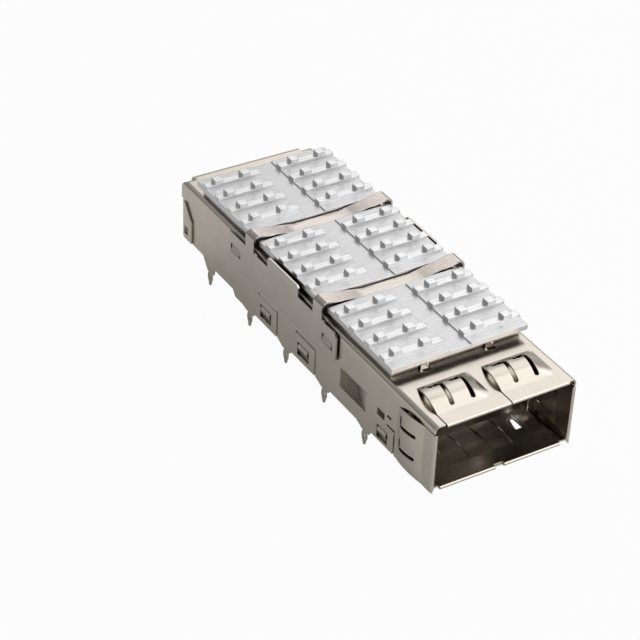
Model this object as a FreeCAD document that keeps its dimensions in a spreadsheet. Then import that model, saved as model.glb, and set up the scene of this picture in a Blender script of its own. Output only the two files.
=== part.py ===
import FreeCAD, Part
import Sketcher
import os

doc = FreeCAD.newDocument("qsfp_cage")

# Driving dimensions in millimetres. Y runs from the mouth of the cage (0) to its rear, X is
# measured from the middle plane, and Z from the face of the board that the feet stand on.
dims = doc.addObject("Spreadsheet::Sheet", "dims")
sizes = {
    # Outside of the cage and its sheet metal.
    "cage_width": 19.0,
    "cage_length": 59.1,
    "cage_bottom": 0.65,
    "cage_top": 9.65,
    "sheet_thick": 0.2,
    "bend_radius": 0.6,
    "rear_bend": 1.0,
    "fit_gap": 0.05,
    "edge_gap": 0.1,
    "tab_root": 0.3,
    "cut_over": 1.0,
    "end_round": 0.55,
    # Contact springs round the mouth: flat strip, outward arch, hem and inner fingers.
    "strip_length": 2.1,
    "arch_end": 7.15,
    "arch_rise": 0.8,
    "arch_fade": 1.8,
    "side_rise": 0.42,
    "side_rise_low": 0.22,
    "side_fade": 1.4,
    "hem_gap": 0.06,
    "finger_fold": 2.6,
    "finger_tip": 7.5,
    "finger_crest": 0.3,
    "finger_first": 2.82,
    "finger_pitch": 2.8,
    "finger_slit": 0.22,
    "group_inset": 1.45,
    "group_split": 0.55,
    "group_gap": 1.1,
    "group_end": 1.35,
    "strip_end": 1.05,
    "corner_setback": 0.2,
    "slit_width": 0.14,
    # Slots that free the springs: an L for each finger and a pointed lens beside each group.
    "slot_first": 2.4,
    "slot_front": 2.7,
    "slot_rear": 6.6,
    "slot_width": 0.6,
    "slot_lean": 0.65,
    "slot_leg": 1.75,
    "slot_leg_width": 0.8,
    "slot_round": 0.5,
    "lens_lean": 0.75,
    "lens_bulge": 0.2,
    "lens_outer": 9.0,
    "lens_inner": 19.0,
    "side_slit": 8.75,
    "side_first": 2.5,
    "side_pitch": 3.1,
    "side_slot_front": 3.4,
    "side_slot_width": 0.5,
    "side_lean": 0.4,
    "side_leg": 1.5,
    "side_leg_width": 0.42,
    "lip_notch_left": -0.8,
    "lip_notch_right": 0.45,
    "lip_notch_depth": 0.45,
    # Press-fit pins along each wall, the first from the rear and the others from the mouth.
    "pin_1": 8.25,
    "pin_2": 40.6,
    "pin_3": 31.7,
    "pin_4": 22.75,
    "pin_5": 13.75,
    "pin_stem": 0.62,
    "pin_bow": 1.26,
    "pin_eye_top": -0.2,
    "pin_eye_low": -1.25,
    "pin_eye_radius": 0.8,
    "pin_taper": -1.4,
    "pin_tip": -1.95,
    "pin_tip_width": 0.3,
    # Feet of the pins and the walls' lower edge between them.
    "foot_rear": 0.6,
    "foot_front": 0.95,
    "foot_slope": 1.2,
    "foot_step": 0.3,
    "edge_rear": 1.55,
    "edge_raised": 1.04,
    "edge_low": 0.25,
    "edge_flap": 0.5,
    "raised_start": 0.25,
    "raised_full": 0.333,
    # Snap flaps of the wall, the cover tabs that catch in them, and the other wall windows.
    "flap_front": 2.0,
    "flap_length": 4.8,
    "flap_slit": 0.3,
    "flap_top": 4.35,
    "flap_window_near": 1.6,
    "flap_window_far": 4.25,
    "flap_window_low": 1.15,
    "flap_window_high": 2.95,
    "nose_flap_front": 7.6,
    "nose_flap_rear": 9.5,
    "nose_flap_top": 4.05,
    "nose_window_near": 9.05,
    "nose_window_far": 11.3,
    "nose_window_low": 1.0,
    "nose_window_high": 2.75,
    "tee_near": 8.5,
    "tee_mid": 9.6,
    "tee_post": 0.25,
    "tee_far": 11.6,
    "tee_low": 4.05,
    "tee_step": 4.95,
    "tee_high": 5.35,
    "tee_drop": 0.3,
    # Module latch tongues, bent in from the front edge of their windows.
    "latch_near": 13.7,
    "latch_far": 19.5,
    "latch_low": 2.65,
    "latch_high": 5.45,
    "latch_slit": 0.2,
    "latch_reach": 3.3,
    "latch_bend": 0.85,
    "latch_cut_run": 2.5,
    "latch_cut_rise": 1.7,
    "latch_cut_radius": 3.2,
    # Rear wall, bent down from the top, with side flaps bent forward over the walls.
    "wall_setback": 1.8,
    "wall_top_setback": 0.7,
    "rear_low": 1.55,
    "rear_corner": 2.0,
    "rear_flap_run": 3.7,
    "rear_flap_low": 1.7,
    "rear_flap_step": 5.2,
    "rear_flap_corner": 0.3,
    "rear_flap_high": 7.0,
    "rear_flap_gap": 0.2,
    "rear_window_run": 2.8,
    "rear_window_low": 2.45,
    "rear_window_high": 3.6,
    # Floor of the cage, a second sheet that snaps in from below.
    "floor_end": 38.2,
    "floor_inset": 1.3,
    "floor_ear": 0.6,
    "tab_side": 0.25,
    "tab_rise": 0.35,
    "tab_proud": 0.12,
    "nib_gap": 0.15,
    "nib_lead": 0.2,
    "nib_face": 0.25,
    "peep_x": 5.35,
    "peep_y": 5.2,
    "peep_width": 1.0,
    "peep_length": 2.0,
    "peep_over_x": 1.1,
    "peep_over_y": 1.25,
    # Floating heat sink.
    "sink_front": 9.45,
    "sink_setback": 4.45,
    "sink_side": 0.25,
    "sink_inset": 0.5,
    "sink_end_inset": 0.8,
    "sink_rest": 0.02,
    "flange_low": 1.05,
    "flange_high": 1.7,
    "ridge_high": 2.12,
    "stud_high": 2.65,
    "ridge_end_rear": 1.31,
    "ridge_end_front": 1.565,
    "ridge_width": 1.05,
    "rows_per_field": 4,
    "field_count": 3,
    "lane_half": 1.41,
    "lane_depth": 0.15,
    "stud_width": 1.15,
    "stud_near": 3.55,
    "stud_edge": 1.8,
    "groove_width": 2.3,
    "groove_floor": 1.0,
    "pedestal_drop": 0.32,
    "pedestal_gap": 0.25,
    "pedestal_lead": 0.3,
    "pedestal_ramp": 0.9,
    "opening_side": 1.2,
    "opening_end": 1.15,
    "opening_corner": 0.8,
    "locator_x": 4.4,
    "locator_width": 1.1,
    "locator_slot": 0.85,
    "locator_rise": 0.5,
    # Spring clip that holds the heat sink down.
    "clip_thick": 0.25,
    "clip_gap": 0.2,
    "clip_front": 20.0,
    "clip_rear": 45.0,
    "clip_low": 5.5,
    "clip_high": 9.75,
    "clip_corner": 0.9,
    "clip_root": 0.4,
    "guide_front": 28.6,
    "guide_rear": 35.8,
    "guide_high": 11.2,
    "guide_corner": 0.3,
    "clip_window_front": 0.7,
    "clip_window_rear": 0.3,
    "clip_window_length": 2.4,
    "clip_window_low": 6.95,
    "clip_window_high": 8.2,
    "catch_proud": 0.55,
    "catch_gap": 0.2,
    "catch_lift": 0.25,
    "strap_width": 1.95,
    "strap_bend": 0.8,
    "strap_shoulder": 11.2,
    "strap_slope": 10.5,
    "strap_rest": 0.02,
}
for row, (alias, size) in enumerate(sizes.items(), 1):
    dims.set(f"A{row}", alias.replace("_", " "))
    dims.set(f"B{row}", str(size))
    dims.setAlias(f"B{row}", alias)
doc.recompute()


def new_body(name):
    """Start one sheet or machined piece as a body of its own."""
    body = doc.addObject("PartDesign::Body", name)
    body.Label = name
    body.Placement = FreeCAD.Placement()
    return body


def origin(body, role):
    """An origin plane or axis of the body, by its role."""
    return next(item for item in body.Origin.OriginFeatures if item.Role == role)


def sketch_on(body, name, role, offset="0"):
    """A sketch on an origin plane, moved along the plane's normal by an expression."""
    sketch = body.newObject("Sketcher::SketchObject", name)
    sketch.AttachmentSupport = [(origin(body, role), "")]
    sketch.MapMode = "FlatFace"
    sketch.setExpression("AttachmentOffset.Base.z", offset)
    return sketch


def arc_between(start, end, radius, hint):
    """The smaller arc of a radius between two points, on the side of a hint point."""
    middle = (start + end) * 0.5
    chord = end - start
    rise = radius - (max(radius ** 2 - (chord.Length / 2) ** 2, 0.0)) ** 0.5
    normal = FreeCAD.Vector(-chord.y, chord.x, 0).normalize() * rise
    crown = min((middle + normal, middle - normal), key=hint.distanceToPoint)
    return Part.Arc(start, crown, end)


def outline(sketch, points, arcs=None):
    """Draw a closed outline through points given as pairs of expressions.

    Every point is held to the sketch origin by its two expressions. arcs maps the number of an
    edge to a radius and a hint point that says to which side the edge is rounded.
    """
    arcs = arcs or {}
    value = sketch.evalExpression
    places = [FreeCAD.Vector(float(value(u)), float(value(v)), 0) for u, v in points]
    edges = []
    for number, place in enumerate(places):
        following = places[(number + 1) % len(places)]
        if number in arcs:
            radius, (hint_u, hint_v) = arcs[number]
            hint = FreeCAD.Vector(float(value(hint_u)), float(value(hint_v)), 0)
            curve = arc_between(place, following, float(value(radius)), hint)
        else:
            curve = Part.LineSegment(place, following)
        edges.append(sketch.addGeometry(curve, False))
    # An arc of a sketch runs counter-clockwise, so its start may be the outline's later point.
    starts = []
    for number, edge in enumerate(edges):
        first = sketch.getPoint(edge, 1)
        starts.append(1 if first.distanceToPoint(places[number]) < 1e-6 else 2)
    for number, edge in enumerate(edges):
        last = (number + 1) % len(edges)
        sketch.addConstraint(
            Sketcher.Constraint("Coincident", edge, 3 - starts[number], edges[last], starts[last]))
        for kind, text, size in (("DistanceX", points[number][0], places[number].x),
                                 ("DistanceY", points[number][1], places[number].y)):
            held = sketch.addConstraint(
                Sketcher.Constraint(kind, -1, 1, edge, starts[number], size))
            sketch.setExpression(f"Constraints[{held}]", text)
        if number in arcs:
            radius = arcs[number][0]
            held = sketch.addConstraint(
                Sketcher.Constraint("Radius", edge, float(value(radius))))
            sketch.setExpression(f"Constraints[{held}]", radius)


def placed_outline(sketch, place, points, arcs=None):
    """Draw an outline whose points and hints a place function turns into sketch axes."""
    turned = {edge: (radius, place(*hint)) for edge, (radius, hint) in (arcs or {}).items()}
    outline(sketch, [place(*point) for point in points], turned)


def rectangle(sketch, left, right, low, high):
    """Draw a rectangle between two pairs of expressions."""
    outline(sketch, [(left, low), (right, low), (right, high), (left, high)])


def extrude(body, kind, name, sketch, length, symmetric=False, reverse=False):
    """Pad or pocket a sketch by an expression."""
    feature = body.newObject(f"PartDesign::{kind}", name)
    feature.Profile = sketch
    feature.setExpression("Length", length)
    feature.SideType = "Symmetric" if symmetric else "One side"
    feature.Reversed = reverse
    body.Tip = feature
    return feature


def loft(body, name, sections):
    """Join sections that lie one behind the other by straight ruled faces."""
    feature = body.newObject("PartDesign::AdditiveLoft", name)
    feature.Profile = sections[0]
    feature.Sections = sections[1:]
    feature.Ruled = True
    body.Tip = feature
    return feature


def mirror(body, name, features):
    """Repeat features of the left wall on the right wall."""
    feature = body.newObject("PartDesign::Mirrored", name)
    feature.Originals = features
    feature.MirrorPlane = (origin(body, "YZ_Plane"), [""])
    body.Tip = feature
    return feature


# Expressions that several pieces share.
half = "dims.cage_width / 2"
inner_half = f"({half} - dims.sheet_thick)"
top = "dims.cage_top"
length = "dims.cage_length"
sheet = "dims.sheet_thick"
over = "dims.cut_over"
hem = "(dims.sheet_thick + dims.hem_gap / 2)"
inner_face = f"(2 * {hem})"
floor_top = f"(dims.cage_bottom + {sheet})"
slit_half = "dims.slit_width / 2"
through = f"(dims.cage_width + 6 * {over})"
through_sheet = f"({over} + 2 * {sheet})"
arch_run = "(dims.arch_end - dims.strip_length)"
finger_run = "(dims.finger_tip - dims.finger_fold)"
finger_over = f"dims.finger_tip + {over}"
pins = [f"({length} - dims.pin_1)"] + [f"dims.pin_{number}" for number in range(2, 6)]
group_starts = [f"(dims.group_inset - {half})", "dims.group_split"]
group_ends = ["(dims.group_split - dims.group_gap)", f"({half} - dims.group_end)"]
strip_right = f"({half} - dims.strip_end)"
slot_starts = [f"{start} + dims.slot_first + {count} * dims.finger_pitch"
               for start in group_starts for count in (0, 1)]
finger_starts = [f"{start} + dims.finger_first + {count} * dims.finger_pitch"
                 for start in group_starts for count in (0, 1)]
side_starts = [f"dims.side_slit - dims.side_first - {count} * dims.side_pitch" for count in (0, 1)]
clip_windows = ["(dims.clip_front + dims.clip_window_front)",
                "(dims.clip_rear - dims.clip_window_rear - dims.clip_window_length)"]


def arc_radius(chord, rise):
    """The radius of an arc over a chord, as an expression."""
    return f"(({chord} ^ 2 / 4 + {rise} ^ 2) / (2 * {rise}))"


def spring_section(sketch, place, rise=None):
    """Draw the section of a contact spring: arch, flat strip, hem and the finger folded inside.

    place turns a distance from the mouth and a height over the outer face into sketch axes.
    Without a rise the sheet stays flat where the arch would be.
    """
    finger_radius = arc_radius(finger_run, "dims.finger_crest")
    finger_hint = ("(dims.finger_fold + dims.finger_tip) / 2", f"-{inner_face} - dims.finger_crest")
    points = [
        ("dims.arch_end", "0"),
        ("dims.strip_length", "0"),
        (hem, "0"),
        ("0", f"-{hem}"),
        (hem, f"-{inner_face}"),
        ("dims.finger_fold", f"-{inner_face}"),
        ("dims.finger_tip", f"-{inner_face}"),
        ("dims.finger_tip", f"{sheet} - {inner_face}"),
        ("dims.finger_fold", f"{sheet} - {inner_face}"),
        (hem, f"{sheet} - {inner_face}"),
        (sheet, f"-{hem}"),
        (hem, f"-{sheet}"),
        ("dims.strip_length", f"-{sheet}"),
        ("dims.arch_end", f"-{sheet}"),
    ]
    arcs = {
        2: (hem, ("0", "0")),
        3: (hem, ("0", f"-{inner_face}")),
        5: (finger_radius, finger_hint),
        7: (finger_radius, finger_hint),
        9: ("dims.hem_gap / 2", (sheet, f"{sheet} - {inner_face}")),
        10: ("dims.hem_gap / 2", (sheet, f"-{sheet}")),
    }
    if rise:
        arch_hint = ("(dims.strip_length + dims.arch_end) / 2", rise)
        arcs[0] = (arc_radius(arch_run, rise), arch_hint)
        arcs[12] = (arc_radius(arch_run, rise), arch_hint)
    placed_outline(sketch, place, points, arcs)


def ell_slot(sketch, place, start, front, width, lean, leg, leg_width):
    """Draw the L-shaped slot that frees one side and the rear of a spring finger."""
    left = f"{start} - {width} / 2"
    right = f"{start} + {width} / 2"
    leg_end = f"{right} + {lean} - {leg}"
    leg_front = f"dims.slot_rear - {leg_width}"
    points = [
        (left, front),
        (right, front),
        (f"{right} + {lean}", "dims.slot_rear - dims.slot_round"),
        (f"{right} + {lean} - dims.slot_round", "dims.slot_rear"),
        (leg_end, "dims.slot_rear"),
        (leg_end, leg_front),
        (f"{left} + {lean}", leg_front),
    ]
    arcs = {
        0: (f"{width} * dims.end_round", (start, f"{front} - {over}")),
        2: ("dims.slot_round", (f"{right} + {lean}", "dims.slot_rear")),
        4: (f"{leg_width} * dims.end_round", (f"{leg_end} - {over}", "dims.slot_rear")),
    }
    placed_outline(sketch, place, points, arcs)


def lens_cut(sketch, place, start, lean):
    """Draw the slit through the strip and the cut along the side edge of an arch behind it."""
    left = f"{start} - {slit_half}"
    right = f"{start} + {slit_half}"
    points = [
        (left, f"-{over}"),
        (right, f"-{over}"),
        (right, "dims.strip_length"),
        (f"{start} + {lean}", "dims.arch_end"),
        (f"{left} - dims.lens_bulge", "dims.arch_end"),
        (f"{left} - dims.lens_bulge", "dims.strip_length"),
        (left, "dims.strip_length"),
    ]
    arcs = {2: ("dims.lens_inner", (f"{start} - {over}", "dims.arch_end"))}
    placed_outline(sketch, place, points, arcs)


def lens_edge(sketch, place, start, lean):
    """Draw the flat sheet that stays beside an arch, with the curved edge of the lens."""
    left = f"{start} - {slit_half}"
    rear = "dims.arch_end + dims.tab_root"
    points = [
        (left, "dims.strip_length"),
        (f"{start} + {lean}", "dims.arch_end"),
        (f"{start} + {lean}", rear),
        (f"{left} - dims.lens_bulge", rear),
        (f"{left} - dims.lens_bulge", "dims.strip_length"),
    ]
    arcs = {0: ("dims.lens_outer", (f"{start} - {over}", "dims.strip_length"))}
    placed_outline(sketch, place, points, arcs)


def finger_slits(sketch, place, starts):
    """Draw the slits between the folded-in fingers, open at the fingers' tips."""
    for start in starts:
        left = f"{start} - dims.finger_slit / 2"
        right = f"{start} + dims.finger_slit / 2"
        placed_outline(sketch, place, [(left, "dims.finger_fold"), (right, "dims.finger_fold"),
                                       (right, finger_over), (left, finger_over)])


def straight(across, along):
    """Axes of a sketch that looks down on the top or the floor."""
    return (across, along)


def upright(across, along):
    """Axes of a sketch on a side wall, where across runs down from the top."""
    return (along, f"-({across})")


# Cage shell: one folded sheet, open below, with its contact springs, pins, flaps and rear wall.
shell = new_body("cage_shell")

# The channel of top and side walls, with the walls long enough for the feet.
channel = sketch_on(shell, "channel_section", "XZ_Plane")
bend_in = f"(dims.bend_radius - {sheet})"
shoulder = f"{top} - dims.bend_radius"
corner = f"({half} - dims.bend_radius)"
outline(
    channel,
    [(f"-{half}", "0"), (f"-{half}", shoulder), (f"-{corner}", top), (corner, top),
     (half, shoulder), (half, "0"), (inner_half, "0"), (inner_half, shoulder),
     (corner, f"{top} - {sheet}"), (f"-{corner}", f"{top} - {sheet}"),
     (f"-{inner_half}", shoulder), (f"-{inner_half}", "0")],
    {1: ("dims.bend_radius", (f"-{half}", top)),
     3: ("dims.bend_radius", (half, top)),
     7: (bend_in, (half, top)),
     9: (bend_in, (f"-{half}", top))})
wall_top_rear = f"({length} - dims.wall_top_setback)"
extrude(shell, "Pad", "channel", channel, wall_top_rear, reverse=True)

# The walls' rear edges: set back behind the wrapped flaps, and rounded above like the rear bend.
round_y = f"({wall_top_rear} - dims.rear_bend)"
rear_shoulder = f"({top} - dims.rear_bend)"
wall_rear = f"({length} - dims.wall_setback)"
flap_clear = "dims.rear_flap_high + dims.rear_flap_gap"
rear_edge = sketch_on(shell, "rear_edge_outline", "YZ_Plane")
outline(
    rear_edge,
    [(round_y, top), (wall_top_rear, rear_shoulder), (wall_top_rear, flap_clear),
     (wall_rear, flap_clear), (wall_rear, f"-{over}"), (f"{length} + {over}", f"-{over}"),
     (f"{length} + {over}", f"{top} + {over}"), (round_y, f"{top} + {over}")],
    {0: ("dims.rear_bend", (wall_top_rear, top))})
extrude(shell, "Pocket", "rear_edge", rear_edge, through, symmetric=True)

# The lower edge of both walls, cut back between the feet of the pins.
lower_edge = sketch_on(shell, "lower_edge_outline", "YZ_Plane")


def edge_ends(rear_pin, front_pin):
    """Where the clear edge between two feet starts, behind the front one, and where it ends."""
    return (f"({front_pin} + dims.foot_rear + dims.foot_slope)",
            f"({rear_pin} - dims.foot_front - dims.foot_step)")


def between_feet(rear_pin, front_pin, edge_points):
    """Cut the wall's lower edge from the front of one foot to the rear of the next."""
    start = f"{rear_pin} - dims.foot_front"
    end = f"{front_pin} + dims.foot_rear"
    outline(lower_edge, [(end, f"-{over}"), (end, "0")] + edge_points
            + [(start, "0"), (start, f"-{over}")])


rear_foot = f"{pins[0]} + dims.foot_rear"
outline(lower_edge, [(rear_foot, f"-{over}"), (rear_foot, "0"),
                     (f"{rear_foot} + dims.foot_slope", "dims.edge_rear"),
                     (f"{length} + {over}", "dims.edge_rear"), (f"{length} + {over}", f"-{over}")])
edge_from, edge_to = edge_ends(pins[0], pins[1])
between_feet(pins[0], pins[1], [
    (edge_from, "dims.edge_low"),
    (f"{edge_from} + dims.raised_start * ({edge_to} - {edge_from})", "dims.edge_low"),
    (f"{edge_from} + dims.raised_full * ({edge_to} - {edge_from})", "dims.edge_raised"),
    (edge_to, "dims.edge_raised")])
for rear_pin, front_pin in zip(pins[1:4], pins[2:5]):
    edge_from, edge_to = edge_ends(rear_pin, front_pin)
    between_feet(rear_pin, front_pin, [(edge_from, "dims.edge_flap"), (edge_to, "dims.edge_flap")])
front_foot = f"{pins[4]} - dims.foot_front"
outline(lower_edge, [(f"-{over}", f"-{over}"), (f"-{over}", "dims.cage_bottom"),
                     (f"{front_foot} - dims.foot_step", "dims.cage_bottom"),
                     (front_foot, "0"), (front_foot, f"-{over}")])
extrude(shell, "Pocket", "lower_edge", lower_edge, through, symmetric=True)

# Slits and windows through both walls: snap flaps, cover-tab windows and module latch windows.
windows = sketch_on(shell, "wall_windows", "YZ_Plane")
slit = "dims.flap_slit"
flap_fronts = [f"{pin} + dims.flap_front" for pin in pins[2:4]]
snap_flaps = [(front, f"{front} + dims.flap_length", "dims.flap_top") for front in flap_fronts]
snap_flaps.append(("dims.nose_flap_front", "dims.nose_flap_rear", "dims.nose_flap_top"))
for front, rear, high in snap_flaps:
    outline(windows, [(front, "0"), (f"{front} + {slit}", "0"), (f"{front} + {slit}", f"{high} - {slit}"),
                      (rear, f"{high} - {slit}"), (rear, high), (front, high)])
tab_windows = [(f"({front} + dims.flap_window_near)", f"({front} + dims.flap_window_far)",
                "dims.flap_window_low", "dims.flap_window_high") for front in flap_fronts]
tab_windows.append(("dims.nose_window_near", "dims.nose_window_far",
                    "dims.nose_window_low", "dims.nose_window_high"))
for window in tab_windows:
    rectangle(windows, *window)
rectangle(windows, "dims.tee_near", "dims.tee_mid", "dims.tee_step", "dims.tee_high")
rectangle(windows, "dims.tee_mid + dims.tee_post", "dims.tee_far", "dims.tee_low",
          "dims.tee_high - dims.tee_drop")
rectangle(windows, "dims.latch_near", "dims.latch_far", "dims.latch_low", "dims.latch_high")
for near in clip_windows:
    rectangle(windows, f"{near} + dims.catch_gap", f"{near} + dims.clip_window_length - dims.catch_gap",
              "dims.clip_window_low", "dims.clip_window_high")
extrude(shell, "Pocket", "windows", windows, through, symmetric=True)

# Module latch tongues, bent in from the front edge of their windows.
tongue_low = "dims.latch_low + dims.edge_gap"
tongue_root = "dims.latch_near - dims.tab_root"
tongue_end = "dims.latch_near + dims.latch_reach"
tongue = sketch_on(shell, "latch_tongue_section", "XY_Plane", tongue_low)
outline(tongue, [(f"-{half}", tongue_root), (f"-{inner_half}", tongue_root),
                 (f"dims.latch_bend - {inner_half}", tongue_end),
                 (f"dims.latch_bend - {half}", tongue_end), (f"-{half}", "dims.latch_near")])
tongue_pad = extrude(shell, "Pad", "latch_tongue", tongue,
                     f"dims.latch_high - dims.latch_slit - ({tongue_low})")

# Catches of the clip, pressed out of the walls with the lower edge free.
catch_pads = []
catch_top = "dims.clip_window_high + dims.edge_gap"
catch_edge = "dims.clip_window_low + dims.catch_lift"
for number, near in enumerate(clip_windows, 1):
    catch = sketch_on(shell, f"catch_{number}_section", "XZ_Plane", f"-{near} - dims.catch_gap")
    outline(catch, [(f"-{half}", catch_top), (f"-{half} - dims.catch_proud", catch_edge),
                    (f"{sheet} - {half} - dims.catch_proud", catch_edge),
                    (f"-{inner_half}", catch_top)])
    catch_pads.append(extrude(shell, "Pad", f"catch_{number}", catch,
                              "dims.clip_window_length - 2 * dims.catch_gap", reverse=True))

# Press-fit pins with an eye, standing down from the feet of the left wall.
pin_outlines = sketch_on(shell, "pin_outlines", "YZ_Plane", f"-{half}")
stem = "dims.pin_stem / 2"
point = "dims.pin_tip_width / 2"
eye_middle = "((dims.pin_eye_top + dims.pin_eye_low) / 2)"
for pin in pins:
    before = (f"{pin} - {over}", eye_middle)
    behind = (f"{pin} + {over}", eye_middle)
    outline(
        pin_outlines,
        [(f"{pin} - {stem}", "dims.tab_root"), (f"{pin} - {stem}", "0"),
         (f"{pin} - {stem}", "dims.pin_taper"), (f"{pin} - {point}", "dims.pin_tip"),
         (f"{pin} + {point}", "dims.pin_tip"), (f"{pin} + {stem}", "dims.pin_taper"),
         (f"{pin} + {stem}", "0"), (f"{pin} + {stem}", "dims.tab_root")],
        {1: ("dims.pin_bow", before), 5: ("dims.pin_bow", behind)})
    outline(
        pin_outlines,
        [(pin, "dims.pin_eye_top"), (pin, "dims.pin_eye_low")],
        {0: ("dims.pin_eye_radius", before), 1: ("dims.pin_eye_radius", behind)})
pin_pad = extrude(shell, "Pad", "pins", pin_outlines, sheet)

# Side springs: the wall's front is taken away and put back as arch, hem and inner fingers, with
# the arch flattened out towards the lower edge. The fingers end above the floor.
side_room = sketch_on(shell, "side_spring_room", "YZ_Plane")
rectangle(side_room, f"-{over}", "dims.arch_end", f"-{over}", "dims.side_slit")
extrude(shell, "Pocket", "side_spring_cut", side_room, through, symmetric=True)
side_sections = []
for name, level, rise in (
        ("low", "dims.cage_bottom", "dims.side_rise_low"),
        ("middle", "dims.cage_bottom + dims.side_fade", "dims.side_rise"),
        ("high", "dims.side_slit - dims.slit_width", "dims.side_rise")):
    section = sketch_on(shell, f"side_spring_{name}", "XY_Plane", level)
    spring_section(section, lambda along, height: (f"-{half} - ({height})", along), rise)
    side_sections.append(section)
side_springs = loft(shell, "side_springs", side_sections)
side_slots = sketch_on(shell, "side_spring_slots", "YZ_Plane", f"dims.hem_gap / 2 + {sheet} - {half}")
for start in side_starts:
    ell_slot(side_slots, upright, f"-({start})", "dims.side_slot_front", "dims.side_slot_width",
             "dims.side_lean", "dims.side_leg", "dims.side_leg_width")
side_lens = f"-dims.side_slit + {slit_half}"
lens_cut(side_slots, upright, side_lens, "dims.lens_lean")
side_slot_cut = extrude(shell, "Pocket", "side_slots", side_slots, f"dims.side_rise + {over}")
side_edge = sketch_on(shell, "side_lens_edge", "YZ_Plane", f"-{half}")
lens_edge(side_edge, upright, side_lens, "dims.lens_lean")
side_edge_pad = extrude(shell, "Pad", "side_lens_sheet", side_edge, sheet)
mirror(shell, "right_wall",
       [tongue_pad] + catch_pads + [pin_pad, side_springs, side_slot_cut, side_edge_pad])
side_slits = sketch_on(shell, "side_finger_slits", "YZ_Plane")
finger_slits(side_slits, lambda across, along: (along, across), side_starts)
rectangle(side_slits, f"-{over}", finger_over, f"-{over}", f"{floor_top} + dims.edge_gap")
extrude(shell, "Pocket", "side_fingers", side_slits,
        f"dims.cage_width - 2 * {sheet} - dims.hem_gap", symmetric=True)

# The free edge of each latch tongue, rounded off at its lower corner.
tongue_corner = sketch_on(shell, "latch_tongue_corner", "YZ_Plane")
corner_low = "dims.latch_low + dims.edge_gap / 2"
corner_far = f"{tongue_end} + dims.edge_gap"
outline(tongue_corner,
        [(f"{corner_far} - dims.latch_cut_run", corner_low), (corner_far, corner_low),
         (corner_far, f"{corner_low} + dims.latch_cut_rise")],
        {2: ("dims.latch_cut_radius", (corner_far, corner_low))})
extrude(shell, "Pocket", "latch_tongue_round", tongue_corner, through, symmetric=True)

# Top springs, made as the side ones are, in two groups that flatten out on their right.
top_room = sketch_on(shell, "top_spring_room", "XY_Plane", f"{top} + {over}")
rectangle(top_room, f"{group_starts[0]} - {slit_half}", strip_right, f"-{over}", "dims.arch_end")
extrude(shell, "Pocket", "top_spring_cut", top_room, through_sheet)
strip_ends = [f"{group_starts[1]} - {slit_half}", strip_right]
for number, (start, end, strip) in enumerate(zip(group_starts, group_ends, strip_ends), 1):
    sections = []
    for name, level, rise in (("near", f"{start} + {slit_half}", "dims.arch_rise"),
                              ("full", f"{end} - dims.arch_fade", "dims.arch_rise"),
                              ("flat", end, None),
                              ("end", strip, None)):
        section = sketch_on(shell, f"top_spring_{number}_{name}", "YZ_Plane", level)
        spring_section(section, lambda along, height: (along, f"{top} + {height}"), rise)
        sections.append(section)
    loft(shell, f"top_springs_{number}", sections)
top_slots = sketch_on(shell, "top_spring_slots", "XY_Plane", f"{top} + dims.arch_rise + {over}")
for start in slot_starts:
    ell_slot(top_slots, straight, start, "dims.slot_front", "dims.slot_width",
             "dims.slot_lean", "dims.slot_leg", "dims.slot_leg_width")
for start in group_starts:
    lens_cut(top_slots, straight, start, "dims.lens_lean")
extrude(shell, "Pocket", "top_slots", top_slots, f"dims.arch_rise + {over} + {sheet} + dims.hem_gap / 2")
top_edges = sketch_on(shell, "top_lens_edges", "XY_Plane", f"{top} - {sheet}")
for start in group_starts:
    lens_edge(top_edges, straight, start, "dims.lens_lean")
extrude(shell, "Pad", "top_lens_sheet", top_edges, sheet)
top_slits = sketch_on(shell, "top_finger_slits", "XY_Plane", f"{top} - {sheet} - dims.hem_gap / 2")
finger_slits(top_slits, straight, finger_starts)
rectangle(top_slits, f"dims.group_split - {slit_half}", f"dims.group_split + {slit_half}",
          f"-{over}", finger_over)
extrude(shell, "Pocket", "top_fingers", top_slits, f"dims.finger_crest + {over}")

# The plain corners beside the hemmed strips, a little shorter than the hems.
corners = sketch_on(shell, "mouth_corners", "XY_Plane", f"{top} + {over}")
rectangle(corners, f"-{half} - {over}", f"{group_starts[0]} - {slit_half}", f"-{over}",
          "dims.corner_setback")
rectangle(corners, strip_right, f"{half} + {over}", f"-{over}", "dims.corner_setback")
extrude(shell, "Pocket", "mouth_corner_cut", corners, f"{top} + {over} - dims.side_slit")

# Opening for the heat sink, and two locator tabs bent up in front of it.
sink_rear = f"({length} - dims.sink_setback)"
opening = sketch_on(shell, "sink_opening", "XY_Plane", f"{top} + {over}")
round_corner = "dims.opening_corner"
side = f"({half} - dims.opening_side)"
near = "(dims.sink_front + dims.opening_end)"
far = f"({sink_rear} - dims.opening_end)"
outline(
    opening,
    [(f"{round_corner} - {side}", near), (f"{side} - {round_corner}", near),
     (side, f"{near} + {round_corner}"), (side, f"{far} - {round_corner}"),
     (f"{side} - {round_corner}", far), (f"{round_corner} - {side}", far),
     (f"-{side}", f"{far} - {round_corner}"), (f"-{side}", f"{near} + {round_corner}")],
    {1: (round_corner, (side, near)), 3: (round_corner, (side, far)),
     5: (round_corner, (f"-{side}", far)), 7: (round_corner, (f"-{side}", near))})
locator_far = "dims.sink_front + dims.sink_end_inset - dims.fit_gap"
locator_near = f"{locator_far} - {sheet}"
locator_sides = [(f"{middle} - dims.locator_width / 2", f"{middle} + dims.locator_width / 2")
                 for middle in ("-dims.locator_x", "dims.locator_x")]
for left, right in locator_sides:
    rectangle(opening, left, right, f"{locator_near} - dims.locator_slot", locator_near)
extrude(shell, "Pocket", "opening", opening, through_sheet)
locators = sketch_on(shell, "locator_tabs", "XY_Plane", f"{top} - {sheet}")
for left, right in locator_sides:
    rectangle(locators, left, right, locator_near, locator_far)
extrude(shell, "Pad", "locators", locators, f"{sheet} + dims.locator_rise")

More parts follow.
